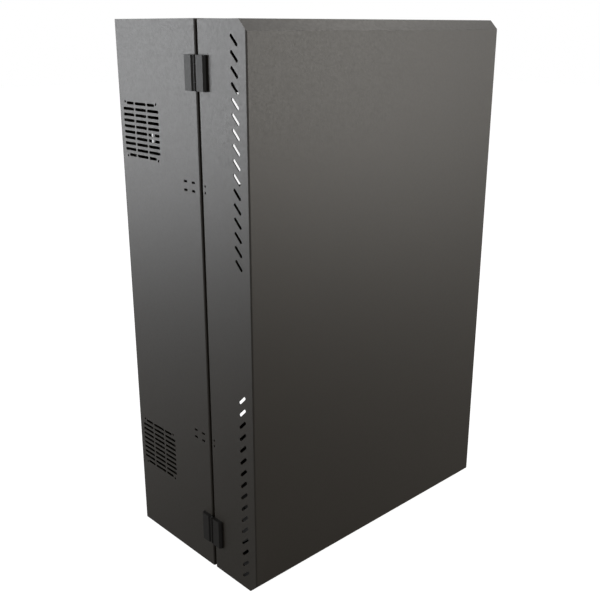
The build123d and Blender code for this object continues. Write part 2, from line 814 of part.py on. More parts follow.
for level, latch_z in zip(("upper", "lower"), latch_heights):
    with BuildPart() as latch_base:
        with BuildSketch(Plane.YZ.offset(side_x)):
            with Locations((base_front + base_length / 2, latch_z)):
                RectangleRounded(base_length, base_width, base_corner)
        extrude(amount=base_thickness)
        for ear_way in (-1, 1):
            ear_z = latch_z + ear_way * ear_spread / 2
            with BuildSketch(Plane.XY.offset(ear_z)):
                with Locations((latch_x, latch_y)):
                    Circle(ear_radius)
                with Locations((side_x, latch_y)):
                    Rectangle(latch_pin_height, 2 * ear_radius, align=(Align.MIN, Align.CENTER))
            extrude(amount=-ear_way * ear_thickness)
        with BuildSketch(Plane.XY.offset(latch_z)):
            with Locations((latch_x, latch_y)):
                Circle(latch_pin_radius + fit)
        extrude(amount=ear_spread / 2, both=True, mode=Mode.SUBTRACT)
        with BuildSketch(Plane.YZ.offset(side_x)):
            with Locations(*[(y, z) for y, z in base_slots if abs(z - latch_z) < base_width]):
                Circle(small_screw_radius + fit)
        extrude(amount=base_thickness, mode=Mode.SUBTRACT)
    save(latch_base.part, f"latch_base_{level}")

    with BuildPart() as latch_pin:
        with BuildSketch(Plane.XY.offset(latch_z)):
            with Locations((latch_x, latch_y)):
                Circle(latch_pin_radius)
        extrude(amount=wall_outer, both=True)
    save(latch_pin.part, f"latch_pin_{level}")

    lever_plane = Plane(origin=(latch_x, latch_y, latch_z), x_dir=lever_direction, z_dir=(0, 0, -1))
    with BuildPart() as latch_lever:
        for wall_way in (-1, 1):
            with BuildSketch(lever_plane.offset(wall_way * wall_outer)):
                Circle(ear_radius)
                with Locations((0, -lever_wall_drop)):
                    Rectangle(lever_length - lever_flare, lever_top + lever_wall_drop, align=Align.MIN)
                with Locations((crank_x, crank_y)):
                    Circle(rod_boss_radius)
                    Circle(rod_radius + fit, mode=Mode.SUBTRACT)
                Circle(latch_pin_radius + fit, mode=Mode.SUBTRACT)
            extrude(amount=-wall_way * lever_thickness)
        with BuildSketch(lever_plane):
            with BuildLine():
                Polyline(
                    (lever_web_start, web_bottom),
                    (lever_web_start, lever_top),
                    (lever_length - lever_flare, lever_top),
                    (lever_length, lever_top + lever_flare_rise),
                    (lever_length, web_bottom + lever_flare_rise),
                    (lever_length - lever_flare, web_bottom),
                    close=True,
                )
            make_face()
        extrude(amount=wall_outer, both=True)
    save(latch_lever.part, f"latch_lever_{level}")

    across_bail = bail_direction.cross(Vector(0, 0, 1))
    bail_plane = Plane(origin=(open_x, open_y, latch_z), x_dir=bail_direction, z_dir=across_bail)
    with BuildPart() as latch_bail:
        with BuildLine(bail_plane) as bail_wire:
            FilletPolyline(
                (0, -stub_z),
                (0, -arm_z),
                (bail_length, -arm_z),
                (bail_length, arm_z),
                (0, arm_z),
                (0, stub_z),
                radius=rod_bend_radius,
            )
        with BuildSketch(Plane(bail_wire.line @ 0, z_dir=bail_wire.line % 0)):
            RegularPolygon(rod_radius, rod_sides)
        sweep()
    save(latch_bail.part, f"latch_bail_{level}")

    with BuildPart() as keeper:
        keeper_line = [
            (side_x + keeper_hook_height, keeper_face),
            (side_x, keeper_face),
            (side_x, keeper_face + keeper_length),
        ]
        with BuildSketch(Plane.XY.offset(latch_z)):
            add(bent_sheet(keeper_line, Side.RIGHT, keeper_thickness, keeper_bend_radius))
        extrude(amount=keeper_width / 2, both=True)
        with BuildSketch(Plane.YZ.offset(side_x)):
            with Locations(*[(y, z) for y, z in keeper_holes if abs(z - latch_z) < keeper_width]):
                Circle(small_screw_radius + fit)
        extrude(amount=keeper_thickness, mode=Mode.SUBTRACT)
    save(keeper.part, f"keeper_{level}")

small_screw = screw(small_screw_radius, small_screw_length, small_head_radius, small_head_height)
small_nut = nut(small_screw_radius, small_nut_across_flats, small_nut_height)
save(set_of(small_screw, [outward(side_x + base_thickness, y, z) for y, z in base_slots]), "latch_screws")
save(set_of(small_nut, [inward(inner_x, y, z) for y, z in base_slots]), "latch_nuts")
save(set_of(small_screw, [outward(side_x + keeper_thickness, y, z) for y, z in keeper_holes]), "keeper_screws")
save(set_of(small_nut, [inward(inner_x, y, z) for y, z in keeper_holes]), "keeper_nuts")
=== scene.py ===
"""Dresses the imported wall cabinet: powder coat, fasteners, soft strips, studio and camera."""
from __future__ import annotations

import json
import logging
import math
from dataclasses import dataclass, field
from enum import Enum
from functools import cache

import bmesh
import bpy
from mathutils import Matrix, Vector


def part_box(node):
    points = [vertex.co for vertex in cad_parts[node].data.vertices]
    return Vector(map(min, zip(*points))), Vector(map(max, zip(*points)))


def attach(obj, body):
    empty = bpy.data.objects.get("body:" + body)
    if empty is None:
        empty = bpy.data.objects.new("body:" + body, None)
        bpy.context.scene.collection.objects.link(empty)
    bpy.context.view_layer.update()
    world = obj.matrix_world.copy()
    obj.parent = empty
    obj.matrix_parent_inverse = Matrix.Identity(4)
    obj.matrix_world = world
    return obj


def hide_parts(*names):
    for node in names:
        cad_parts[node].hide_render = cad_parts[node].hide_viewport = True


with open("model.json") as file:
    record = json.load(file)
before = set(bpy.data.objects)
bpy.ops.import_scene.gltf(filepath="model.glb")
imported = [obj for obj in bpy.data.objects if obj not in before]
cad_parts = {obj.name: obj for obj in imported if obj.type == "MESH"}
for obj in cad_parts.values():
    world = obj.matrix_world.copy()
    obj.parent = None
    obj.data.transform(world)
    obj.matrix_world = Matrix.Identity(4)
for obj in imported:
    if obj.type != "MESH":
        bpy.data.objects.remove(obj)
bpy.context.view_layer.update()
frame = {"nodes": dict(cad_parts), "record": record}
log = logging.getLogger("cabinet")

Socket = bpy.types.NodeSocket
Rgb = tuple[float, float, float]
Outline = list[tuple[float, float]]

MM = 0.001
WHITE = (1.0, 1.0, 1.0, 1.0)
COOL_LIGHT = (0.98, 1.0, 1.03)
WARM_LIGHT = (1.035, 1.0, 0.945)
SPIN_SEED = 11


class Way(Enum):
    """Directions that a fastener's head can point in."""

    LEFT = (-1.0, 0.0, 0.0)
    RIGHT = (1.0, 0.0, 0.0)
    FRONT = (0.0, -1.0, 0.0)
    UP = (0.0, 0.0, 1.0)
    DOWN = (0.0, 0.0, -1.0)

    @property
    def axis(self) -> int:
        """Index of the axis that the direction lies along."""
        return max(range(3), key=lambda index: abs(self.value[index]))


class Thread(Enum):
    """Coarse metric threads, as the radius of the shank and the pitch."""

    M4 = (2.0 * MM, 0.7 * MM)
    M5 = (2.5 * MM, 0.8 * MM)
    M6 = (3.0 * MM, 1.0 * MM)

    @property
    def radius(self) -> float:
        """Radius of the shank."""
        return self.value[0]

    @property
    def pitch(self) -> float:
        """Distance from turn to turn."""
        return self.value[1]


class Graph:
    """Small helper that adds nodes to one node tree and links them."""

    def __init__(self, tree: bpy.types.NodeTree) -> None:
        """Keeps the tree.

        Args:
            tree: the node tree that nodes are added to.
        """
        self.tree = tree

    @classmethod
    def of_geometry(cls, name: str, inputs: dict[str, str]) -> tuple[Graph, bpy.types.Node]:
        """Starts a Geometry Nodes tree that takes and gives geometry.

        Args:
            name: the tree's name.
            inputs: name to kind of each further input.

        Returns:
            The helper and the tree's input node.
        """
        tree = bpy.data.node_groups.new(name, "GeometryNodeTree")
        for title, kind in {"Geometry": "Geometry", **inputs}.items():
            tree.interface.new_socket(
                name=title, in_out="INPUT", socket_type=f"NodeSocket{kind}"
            )
        tree.interface.new_socket(
            name="Geometry", in_out="OUTPUT", socket_type="NodeSocketGeometry"
        )
        graph = cls(tree)
        return graph, graph.add("NodeGroupInput")

    def end_geometry(self, geometry: Socket, finish: Socket) -> None:
        """Makes instances real, gives them their finish and ends the tree.

        Args:
            geometry: what the tree has built.
            finish: the material's socket.
        """
        real = self.add("GeometryNodeRealizeInstances", {"Geometry": geometry})
        dressed = self.add(
            "GeometryNodeSetMaterial", {"Geometry": real.outputs["Geometry"], "Material": finish}
        )
        self.add("NodeGroupOutput", {"Geometry": dressed.outputs["Geometry"]})

    def link(self, source: Socket, target: Socket) -> None:
        """Links two sockets.

        Args:
            source: an output.
            target: an input.
        """
        self.tree.links.new(source, target)

    def add(self, kind: str, inputs: dict | None = None, **settings: object) -> bpy.types.Node:
        """Adds a node, sets its properties and fills or links its inputs.

        Args:
            kind: Blender's name of the node type.
            inputs: input name or index to a value, or to the socket that feeds it.
            settings: properties of the node.

        Returns:
            The new node.
        """
        node = self.tree.nodes.new(kind)
        for key, value in settings.items():
            setattr(node, key, value)
        for key, value in (inputs or {}).items():
            if isinstance(value, Socket):
                self.link(value, node.inputs[key])
            else:
                node.inputs[key].default_value = value
        return node

    def math(self, operation: str, first: object, second: object = 0.5) -> Socket:
        """Adds a math node.

        Args:
            operation: the name of the operation.
            first: first value or socket.
            second: second value or socket.

        Returns:
            The result's socket.
        """
        return self.add("ShaderNodeMath", {0: first, 1: second}, operation=operation).outputs[0]

    def place(self) -> Socket:
        """Adds the object's own coordinates."""
        return self.add("ShaderNodeTexCoord").outputs["Object"]

    def noise(self, scale: object, detail: float, roughness: float = 0.5) -> Socket:
        """Adds a noise texture in object coordinates.

        Args:
            scale: features per metre.
            detail: octaves.
            roughness: weight of the finer octaves.

        Returns:
            A value of about 0 to 1.
        """
        values = {"Vector": self.place(), "Scale": scale, "Detail": detail, "Roughness": roughness}
        return self.add("ShaderNodeTexNoise", values).outputs["Fac"]

    def colours(self, share: Socket, low: object, high: object) -> Socket:
        """Mixes two colours.

        Args:
            share: the second colour's share.
            low: first colour.
            high: second colour.

        Returns:
            The mixed colour.
        """
        return self.add("ShaderNodeMix", {0: share, 6: low, 7: high}, data_type="RGBA").outputs[2]

    def spread(
        self, value: Socket, start: float, stop: float, low: float = 0.0, high: float = 1.0
    ) -> Socket:
        """Maps one range of a value to another, clamped.

        Args:
            value: the value.
            start: where the first range starts.
            stop: where it ends.
            low: where the second range starts.
            high: where it ends.

        Returns:
            The mapped value.
        """
        values = {0: value, 1: start, 2: stop, 3: low, 4: high}
        return self.add("ShaderNodeMapRange", values).outputs[0]

    def bump(self, height: Socket, depth: float) -> Socket:
        """Turns a height into a normal.

        Args:
            height: a value of about 0 to 1.
            depth: its depth in millimetres.

        Returns:
            The normal.
        """
        values = {"Height": height, "Distance": depth * MM, "Strength": 1.0}
        return self.add("ShaderNodeBump", values).outputs["Normal"]


class EffectGroups:
    """Shader node groups that several finishes share, each built once."""

    @staticmethod
    def _start(name: str, inputs: dict[str, float], outputs: tuple[str, ...]) -> tuple:
        """Starts a group of float inputs and outputs.

        Args:
            name: the group's name.
            inputs: input name to default value.
            outputs: output names.

        Returns:
            Its graph helper, its input sockets and its output node's sockets.
        """
        tree = bpy.data.node_groups.new(name, "ShaderNodeTree")
        kind = "NodeSocketFloat"
        for title, value in inputs.items():
            socket = tree.interface.new_socket(name=title, in_out="INPUT", socket_type=kind)
            socket.default_value = value
        for title in outputs:
            tree.interface.new_socket(name=title, in_out="OUTPUT", socket_type=kind)
        graph = Graph(tree)
        start = graph.add("NodeGroupInput").outputs
        return graph, start, graph.add("NodeGroupOutput").inputs

    @staticmethod
    @cache
    def grain() -> bpy.types.ShaderNodeTree:
        """Builds the pebbled skin of powder coat, rubber and foam.

        Returns:
            A group with Height, Tone and Sheen outputs, each about 0 to 1.
        """
        graph, start, end = EffectGroups._start(
            "surface_grain",
            {"Pebble Size": 0.9, "Fleck Size": 5.0, "Cloud Size": 160.0, "Irregularity": 0.5},
            ("Height", "Tone", "Sheen"),
        )
        pebble, fleck, cloud = (
            graph.math("DIVIDE", 1.0 / MM, start[f"{feature} Size"])
            for feature in ("Pebble", "Fleck", "Cloud")
        )
        cells = graph.add(
            "ShaderNodeTexVoronoi", {"Vector": graph.place(), "Scale": pebble}, feature="SMOOTH_F1"
        ).outputs["Distance"]
        fine = graph.noise(pebble, 3.0, 0.6)
        height = graph.add(
            "ShaderNodeMix", {0: start["Irregularity"], 2: cells, 3: fine}, data_type="FLOAT"
        )
        graph.link(height.outputs[0], end["Height"])
        graph.link(graph.noise(cloud, 4.0, 0.55), end["Tone"])
        graph.link(graph.noise(fleck, 3.0, 0.65), end["Sheen"])
        return graph.tree

    @staticmethod
    @cache
    def edge_rub() -> bpy.types.ShaderNodeTree:
        """Builds the mask of the edges that hands and tools rub.

        Returns:
            A group with one Mask output, 0 on flats and up to 1 on sharp edges.
        """
        graph, start, end = EffectGroups._start(
            "edge_rub", {"Width": 0.6, "Breakup": 60.0, "Amount": 1.0}, ("Mask",)
        )
        width = graph.math("MULTIPLY", start["Width"], MM)
        rounded = graph.add("ShaderNodeBevel", {"Radius": width}, samples=4).outputs["Normal"]
        flat = graph.add("ShaderNodeNewGeometry").outputs["Normal"]
        likeness = graph.add(
            "ShaderNodeVectorMath", {0: rounded, 1: flat}, operation="DOT_PRODUCT"
        ).outputs["Value"]
        raised = graph.spread(graph.math("SUBTRACT", 1.0, likeness), 0.02, 0.22)
        patches = graph.spread(graph.noise(start["Breakup"], 5.0), 0.42, 0.66)
        broken = graph.math("MULTIPLY", raised, patches)
        graph.link(graph.math("MULTIPLY", broken, start["Amount"]), end["Mask"])
        return graph.tree

    @staticmethod
    @cache
    def drawn_lines() -> bpy.types.ShaderNodeTree:
        """Builds the fine lines that rolling, drawing and turning leave in plated metal.

        Returns:
            A group with Height and Tone outputs, each about 0 to 1.
        """
        graph, start, end = EffectGroups._start(
            "drawn_lines", {"Line Pitch": 0.25, "Stretch": 18.0, "Spots": 220.0}, ("Height", "Tone")
        )
        along = graph.math("DIVIDE", 1.0, start["Stretch"])
        stretch = graph.add("ShaderNodeCombineXYZ", {"X": 1.0, "Y": along, "Z": 1.0}).outputs[0]
        drawn = graph.add(
            "ShaderNodeVectorMath", {0: graph.place(), 1: stretch}, operation="MULTIPLY"
        ).outputs["Vector"]
        scale = graph.math("DIVIDE", 1.0 / MM, start["Line Pitch"])
        lines = graph.add("ShaderNodeTexNoise", {"Vector": drawn, "Scale": scale, "Detail": 2.0})
        graph.link(lines.outputs["Fac"], end["Height"])
        graph.link(graph.noise(start["Spots"], 6.0), end["Tone"])
        return graph.tree


@dataclass(frozen=True)
class Finish:
    """What every finish has: a colour that changes a little, and a roughness.

    Noise of about 0.5 is spread over the range from noise_low to noise_high.
    """

    name: str
    colour: Rgb
    roughness: float
    noise_low: float = 0.3
    noise_high: float = 0.7

    @cache
    def material(self) -> bpy.types.Material:
        """Gives the finish's material, made on its first use."""
        made = bpy.data.materials.new(self.name)
        made.use_nodes = True
        self._fill(Graph(made.node_tree), made.node_tree.nodes["Principled BSDF"])
        return made

    def _fill(self, graph: Graph, shader: bpy.types.Node) -> None:
        """Builds the finish's nodes.

        Args:
            graph: the material's graph.
            shader: its Principled shader.
        """
        raise NotImplementedError

    def _tones(self, graph: Graph, share: Socket, change: float) -> Socket:
        """Lets the colour change over the surface.

        Args:
            graph: the material's graph.
            share: a value of about 0 to 1.
            change: largest change, as a share of the colour.

        Returns:
            The colour.
        """
        low, high = (
            (*(min(part * (1 + way * change), 1.0) for part in self.colour), 1.0)
            for way in (-1, 1)
        )
        return graph.colours(share, low, high)


@dataclass(frozen=True)
class Coating(Finish):
    """A pebbled, non-metal finish: powder coat, rubber or foam."""

    pebble_size: float = 0.9
    pebble_depth: float = 0.02
    tone_change: float = 0.1
    sheen_change: float = 0.04
    worn_colour: Rgb = (0.09, 0.09, 0.088)
    wear: float = 0.35
    specular: float = 0.5

    def _fill(self, graph: Graph, shader: bpy.types.Node) -> None:
        """Builds the coating's nodes; see Finish."""
        grain = graph.add("ShaderNodeGroup", node_tree=EffectGroups.grain())
        grain.inputs["Pebble Size"].default_value = self.pebble_size
        rub = graph.add("ShaderNodeGroup", node_tree=EffectGroups.edge_rub())
        rub.inputs["Amount"].default_value = self.wear
        body = self._tones(graph, grain.outputs["Tone"], self.tone_change)
        worn = graph.colours(rub.outputs["Mask"], body, (*self.worn_colour, 1.0))
        dull = graph.spread(
            grain.outputs["Sheen"],
            self.noise_low,
            self.noise_high,
            self.roughness - self.sheen_change,
            self.roughness + self.sheen_change,
        )
        graph.link(worn, shader.inputs["Base Color"])
        graph.link(dull, shader.inputs["Roughness"])
        graph.link(
            graph.bump(grain.outputs["Height"], self.pebble_depth), shader.inputs["Normal"]
        )
        shader.inputs["Specular IOR Level"].default_value = self.specular


@dataclass(frozen=True)
class Plating(Finish):
    """A bright or dark metal finish with drawn lines in it."""

    line_pitch: float = 0.25
    line_depth: float = 0.003
    tone_change: float = 0.18
    sheen_change: float = 0.2

    def _fill(self, graph: Graph, shader: bpy.types.Node) -> None:
        """Builds the plating's nodes; see Finish."""
        lines = graph.add("ShaderNodeGroup", node_tree=EffectGroups.drawn_lines())
        lines.inputs["Line Pitch"].default_value = self.line_pitch
        tone = lines.outputs["Tone"]
        dull = graph.spread(
            tone,
            self.noise_low,
            self.noise_high,
            self.roughness * (1 - self.sheen_change),
            self.roughness * (1 + self.sheen_change),
        )
        graph.link(self._tones(graph, tone, self.tone_change), shader.inputs["Base Color"])
        graph.link(dull, shader.inputs["Roughness"])
        graph.link(graph.bump(lines.outputs["Height"], self.line_depth), shader.inputs["Normal"])
        shader.inputs["Metallic"].default_value = 1.0


POWDER_COAT = Coating(
    "powder_coat_finish", (0.0125, 0.0098, 0.0062), 0.45, pebble_depth=0.012, specular=0.4
)
HINGE_COAT = Coating(
    "hinge_coat_finish",
    (0.0125, 0.0115, 0.0105),
    0.44,
    pebble_size=0.5,
    pebble_depth=0.006,
    wear=0.2,
    specular=0.135,
)
RUBBER = Coating(
    "rubber_finish", (0.02, 0.02, 0.02), 0.62, pebble_size=0.4, pebble_depth=0.01, wear=0.1
)
FOAM = Coating(
    "foam_finish", (0.012, 0.012, 0.012), 0.9, pebble_size=0.7, pebble_depth=0.16, wear=0.0
)
ZINC = Plating("zinc_finish", (0.62, 0.64, 0.68), 0.3)
NICKEL = Plating("nickel_finish", (0.6, 0.58, 0.54), 0.24, line_pitch=0.4)
DARK_STEEL = Plating("dark_steel_finish", (0.13, 0.13, 0.135), 0.38)

FINISH_OF_SLOT: dict[str, Finish] = {
    "black_powder_coat": POWDER_COAT,
    "hinge_black": HINGE_COAT,
    "hinge_pin_steel": DARK_STEEL,
    "zinc_steel": ZINC,
    "latch_steel": NICKEL,
    "grommet_rubber": RUBBER,
    "gasket_foam": FOAM,
}


class Workshop:
    """Functions that turn mesh code into finished pieces."""

    @staticmethod
    def link(name: str, data: bpy.types.ID) -> bpy.types.Object:
        """Makes an object and links it to the scene.

        Args:
            name: the object's name.
            data: its mesh, light or camera.

        Returns:
            The object.
        """
        piece = bpy.data.objects.new(name, data)
        bpy.context.collection.objects.link(piece)
        return piece

    @staticmethod
    def from_bmesh(name: str, shape: bmesh.types.BMesh) -> bpy.types.Object:
        """Makes an object of a bmesh, with its faces pointing outwards.

        Args:
            name: the piece's name.
            shape: its faces; freed here.

        Returns:
            The object, linked to the scene.
        """
        bmesh.ops.remove_doubles(shape, verts=shape.verts, dist=MM * 0.001)
        bmesh.ops.recalc_face_normals(shape, faces=shape.faces)
        mesh = bpy.data.meshes.new(name)
        shape.to_mesh(mesh)
        shape.free()
        return Workshop.link(name, mesh)

    @staticmethod
    def bake(piece: bpy.types.Object) -> None:
        """Applies a piece's modifiers by evaluating it.

        Args:
            piece: an object with modifiers.
        """
        bpy.context.view_layer.update()
        evaluated = piece.evaluated_get(bpy.context.evaluated_depsgraph_get())
        mesh = bpy.data.meshes.new_from_object(evaluated)
        mesh.name = piece.name
        piece.modifiers.clear()
        piece.data = mesh

    @staticmethod
    def run_tree(
        piece: bpy.types.Object, tree: bpy.types.GeometryNodeTree, values: dict[str, object]
    ) -> None:
        """Runs a Geometry Nodes tree on a piece.

        Args:
            piece: the piece.
            tree: the tree.
            values: input name to value.
        """
        step = piece.modifiers.new("tree", "NODES")
        step.node_group = tree
        for item in tree.interface.items_tree:
            if item.in_out == "INPUT" and item.name in values:
                step[item.identifier] = values[item.name]
        Workshop.bake(piece)

    @staticmethod
    def lathe(name: str, profile: Outline, steps: int) -> bpy.types.Object:
        """Turns a closed profile about Z.

        Args:
            name: the piece's name.
            profile: radius and height of each corner, in metres.
            steps: faces round the axis.

        Returns:
            The turned object.
        """
        shape = bmesh.new()
        rings: list[list[bmesh.types.BMVert]] = []
        for step in range(steps):
            turn = 2 * math.pi * step / steps
            rings.append(
                [shape.verts.new((r * math.cos(turn), r * math.sin(turn), z)) for r, z in profile]
            )
        count = len(profile)
        for step, ring in enumerate(rings):
            other = rings[(step + 1) % steps]
            for index in range(count):
                after = (index + 1) % count
                if profile[index][0] == 0 and profile[after][0] == 0:
                    continue
                shape.faces.new((ring[index], other[index], other[after], ring[after]))
        bmesh.ops.dissolve_degenerate(shape, dist=MM * 0.001, edges=shape.edges)
        return Workshop.from_bmesh(name, shape)

    @staticmethod
    def combine(piece: bpy.types.Object, tool: bpy.types.Object, operation: str) -> None:
        """Cuts or trims a piece with a tool shape, which is then removed.

        Args:
            piece: the piece.
            tool: the cutting shape.
            operation: Blender's boolean operation.
        """
        step = piece.modifiers.new("cut", "BOOLEAN")
        step.operation = operation
        step.object = tool
        step.solver = "EXACT"
        Workshop.bake(piece)
        bpy.data.objects.remove(tool)

    @staticmethod
    def cut_box(piece: bpy.types.Object, low: Vector, high: Vector) -> None:
        """Cuts a box away from a piece.

        Args:
            piece: the piece.
            low: lowest corner of the box.
            high: highest corner.
        """
        shape = bmesh.new()
        place = Matrix.Translation((low + high) / 2) @ Matrix.Diagonal((*(high - low), 1))
        bmesh.ops.create_cube(shape, size=1, matrix=place)
        Workshop.combine(piece, Workshop.from_bmesh("box", shape), "DIFFERENCE")

    @staticmethod
    def smooth(piece: bpy.types.Object, limit: float) -> None:
        """Shades a piece smoothly except over edges sharper than a limit.

        Args:
            piece: the piece.
            limit: angle in degrees.
        """
        shape = bmesh.new()
        shape.from_mesh(piece.data)
        for face in shape.faces:
            face.smooth = True
        for edge in shape.edges:
            if len(edge.link_faces) == 2:
                edge.smooth = edge.calc_face_angle(0.0) < math.radians(limit)
        shape.to_mesh(piece.data)
        shape.free()


@dataclass
class Solid:
    """Outline box of one separate solid inside a CAD node."""

    low: Vector
    high: Vector

    @property
    def middle(self) -> Vector:
        """Middle of the box."""
        return (self.low + self.high) / 2

    def span(self, axis: int) -> float:
        """Length of the box along one axis.

        Args:
            axis: the axis's index.

        Returns:
            The length.
        """
        return self.high[axis] - self.low[axis]

    def seat(self, way: Way) -> Vector:
        """Middle of the end that a fastener's foot stands on.

        Args:
            way: from the foot to the tip.

        Returns:
            The point.
        """
        point = self.middle
        end = self.low if way.value[way.axis] > 0 else self.high
        point[way.axis] = end[way.axis]
        return point

    @classmethod
    def of_node(cls, node: str) -> list[Solid]:
        """Splits a CAD node into its separate solids.

        Args:
            node: the node's name.

        Returns:
            One entry per solid, in a fixed order.
        """
        shape = bmesh.new()
        shape.from_mesh(frame["nodes"][node].data)
        bmesh.ops.remove_doubles(shape, verts=shape.verts, dist=MM * 0.01)
        seen: set[bmesh.types.BMVert] = set()
        found: list[Solid] = []
        for start in shape.verts:
            if start in seen:
                continue
            seen.add(start)
            heap, group = [start], []
            while heap:
                vertex = heap.pop()
                group.append(vertex.co.copy())
                for edge in vertex.link_edges:
                    other = edge.other_vert(vertex)
                    if other not in seen:
                        seen.add(other)
                        heap.append(other)
            low = Vector([min(co[axis] for co in group) for axis in range(3)])
            high = Vector([max(co[axis] for co in group) for axis in range(3)])
            found.append(cls(low, high))
        shape.free()
        return sorted(found, key=lambda solid: tuple(round(part, 5) for part in solid.middle))


@dataclass
class Places:
    """Seats of one kind of fastener: the points and the way each one faces."""

    points: list[Vector]
    headings: list[Way]

    @staticmethod
    @cache
    def _tree() -> bpy.types.GeometryNodeTree:
        """Builds the tree that sets one piece at every point of a pattern.

        Returns:
            A tree with inputs Piece, Turn, Seed and Finish.
        """
        graph, start = Graph.of_geometry(
            "set_at_points",
            {"Piece": "Object", "Turn": "Float", "Seed": "Int", "Finish": "Material"},
        )
        piece = graph.add("GeometryNodeObjectInfo", {"Object": start.outputs["Piece"]})
        heading = graph.add(
            "GeometryNodeInputNamedAttribute", {"Name": "heading"}, data_type="FLOAT_VECTOR"
        )
        aligned = graph.add(
            "FunctionNodeAlignRotationToVector",
            {"Vector": heading.outputs["Attribute"]},
            axis="Z",
        )
        spin = graph.add(
            "FunctionNodeRandomValue",
            {"Min": 0.0, "Max": start.outputs["Turn"], "Seed": start.outputs["Seed"]},
            data_type="FLOAT",
        )
        about = graph.add("ShaderNodeCombineXYZ", {"Z": spin.outputs["Value"]})
        spun = graph.add(
            "FunctionNodeRotateRotation",
            {"Rotation": aligned.outputs["Rotation"], "Rotate By": about.outputs[0]},
            rotation_space="LOCAL",
        )
        placed = graph.add(
            "GeometryNodeInstanceOnPoints",
            {
                "Points": start.outputs["Geometry"],
                "Instance": piece.outputs["Geometry"],
                "Rotation": spun.outputs["Rotation"],
            },
        )
        graph.end_geometry(placed.outputs["Instances"], start.outputs["Finish"])
        return graph.tree

    def fill(
        self, name: str, piece: bpy.types.Object, finish: Finish, turn: float
    ) -> bpy.types.Object:
        """Sets a piece at every seat with the tree, then removes the piece.

        Args:
            name: name of the finished piece.
            piece: the piece that is repeated.
            finish: its finish.
            turn: largest spin about its own axis, in radians.

        Returns:
            One plain mesh object.
        """
        mesh = bpy.data.meshes.new(name)
        mesh.from_pydata([tuple(point) for point in self.points], [], [])
        headings = mesh.attributes.new("heading", "FLOAT_VECTOR", "POINT")
        for index, way in enumerate(self.headings):
            headings.data[index].vector = way.value
        group = Workshop.link(name, mesh)
        made = finish.material()
        values = {"Piece": piece, "Turn": turn, "Seed": SPIN_SEED, "Finish": made}
        Workshop.run_tree(group, self._tree(), values)
        if not len(group.data.materials):
            group.data.materials.append(made)
        bpy.data.objects.remove(piece)
        return group


@dataclass
class PanHeadScrew:
    """A machine screw with a pan head, a cross recess and a rolled thread."""

    thread: Thread
    length: float
    head_radius: float
    head_height: float
    thread_depth_share: float = 0.45
    recess_share: float = 0.58
    recess_depth_share: float = 0.62
    arm_share: float = 0.17
    crown_steps: int = 6

    def _thread(self) -> Outline:
        """Outline of the shank from its tip up to the head's seat."""
        radius, pitch = self.thread.radius, self.thread.pitch
        root = radius - pitch * self.thread_depth_share
        outline = [(0.0, -self.length), (root, -self.length)]
        height = -self.length
        while height + pitch < -pitch * 0.5:
            outline.append((radius, height + pitch * 0.5))
            outline.append((root, height + pitch))
            height += pitch
        return outline + [(root, 0.0)]

    def _head(self) -> Outline:
        """Outline of the head from its seat to its crown."""
        outline = [(self.head_radius - self.head_height * 0.08, 0.0)]
        for step in range(self.crown_steps):
            turn = math.radians(5 + 17 * step)
            across = self.head_radius * (0.55 + 0.45 * math.cos(turn))
            outline.append((across, self.head_height * (0.12 + 0.88 * math.sin(turn))))
        return outline + [(0.0, self.head_height)]

    def build(self, name: str) -> bpy.types.Object:
        """Builds the screw with its seat at the origin and its head along +Z.

        Args:
            name: the piece's name.

        Returns:
            The screw.
        """
        piece = Workshop.lathe(name, self._thread() + self._head(), 20)
        reach = self.head_radius * self.recess_share
        arm = self.head_radius * self.arm_share
        floor = self.head_height * (1 - self.recess_depth_share)
        top = self.head_height * 1.5
        for x, y in ((reach, arm), (arm, reach)):
            Workshop.cut_box(piece, Vector((-x, -y, floor)), Vector((x, y, top)))
        Workshop.smooth(piece, 30)
        return piece


@dataclass
class HexNut:
    """A hexagon nut with chamfered corners and a threaded bore."""

    thread: Thread
    across_flats: float
    height: float
    thread_depth_share: float = 0.4
    chamfer_angle: float = 30
    chamfer_share: float = 1.6
    corner_room: float = 1.02
    mouth_share: float = 1.12

    def build(self, name: str) -> bpy.types.Object:
        """Builds the nut standing on the origin, along +Z.

        Args:
            name: the piece's name.

        Returns:
            The nut.
        """
        corner = self.across_flats / math.sqrt(3)
        shape = bmesh.new()
        bmesh.ops.create_cone(
            shape,
            cap_ends=True,
            segments=6,
            radius1=corner,
            radius2=corner,
            depth=self.height,
            matrix=Matrix.Translation((0, 0, self.height / 2)),
        )
        piece = Workshop.from_bmesh(name, shape)
        flat = self.across_flats / 2
        drop = (corner - flat) * math.tan(math.radians(self.chamfer_angle)) * self.chamfer_share
        outside = corner * self.corner_room
        trim = [
            (0.0, 0.0),
            (flat, 0.0),
            (outside, drop),
            (outside, self.height - drop),
            (flat, self.height),
            (0.0, self.height),
        ]
        Workshop.combine(piece, Workshop.lathe("trim", trim, 48), "INTERSECT")
        Workshop.combine(piece, Workshop.lathe("bore", self._bore(), 20), "DIFFERENCE")
        Workshop.smooth(piece, 30)
        return piece

    def _bore(self) -> Outline:
        """Outline of the cutting shape for the threaded bore."""
        radius, pitch = self.thread.radius, self.thread.pitch
        depth = pitch * self.thread_depth_share
        mouth = radius * self.mouth_share
        bore = [(0.0, -self.height), (mouth, -self.height), (mouth, 0.0)]
        height = depth
        while height < self.height - pitch * 0.5:
            bore.append((radius - depth, height))
            bore.append((radius, height + pitch * 0.5))
            height += pitch
        return bore + [(mouth, self.height), (mouth, self.height * 2), (0.0, self.height * 2)]


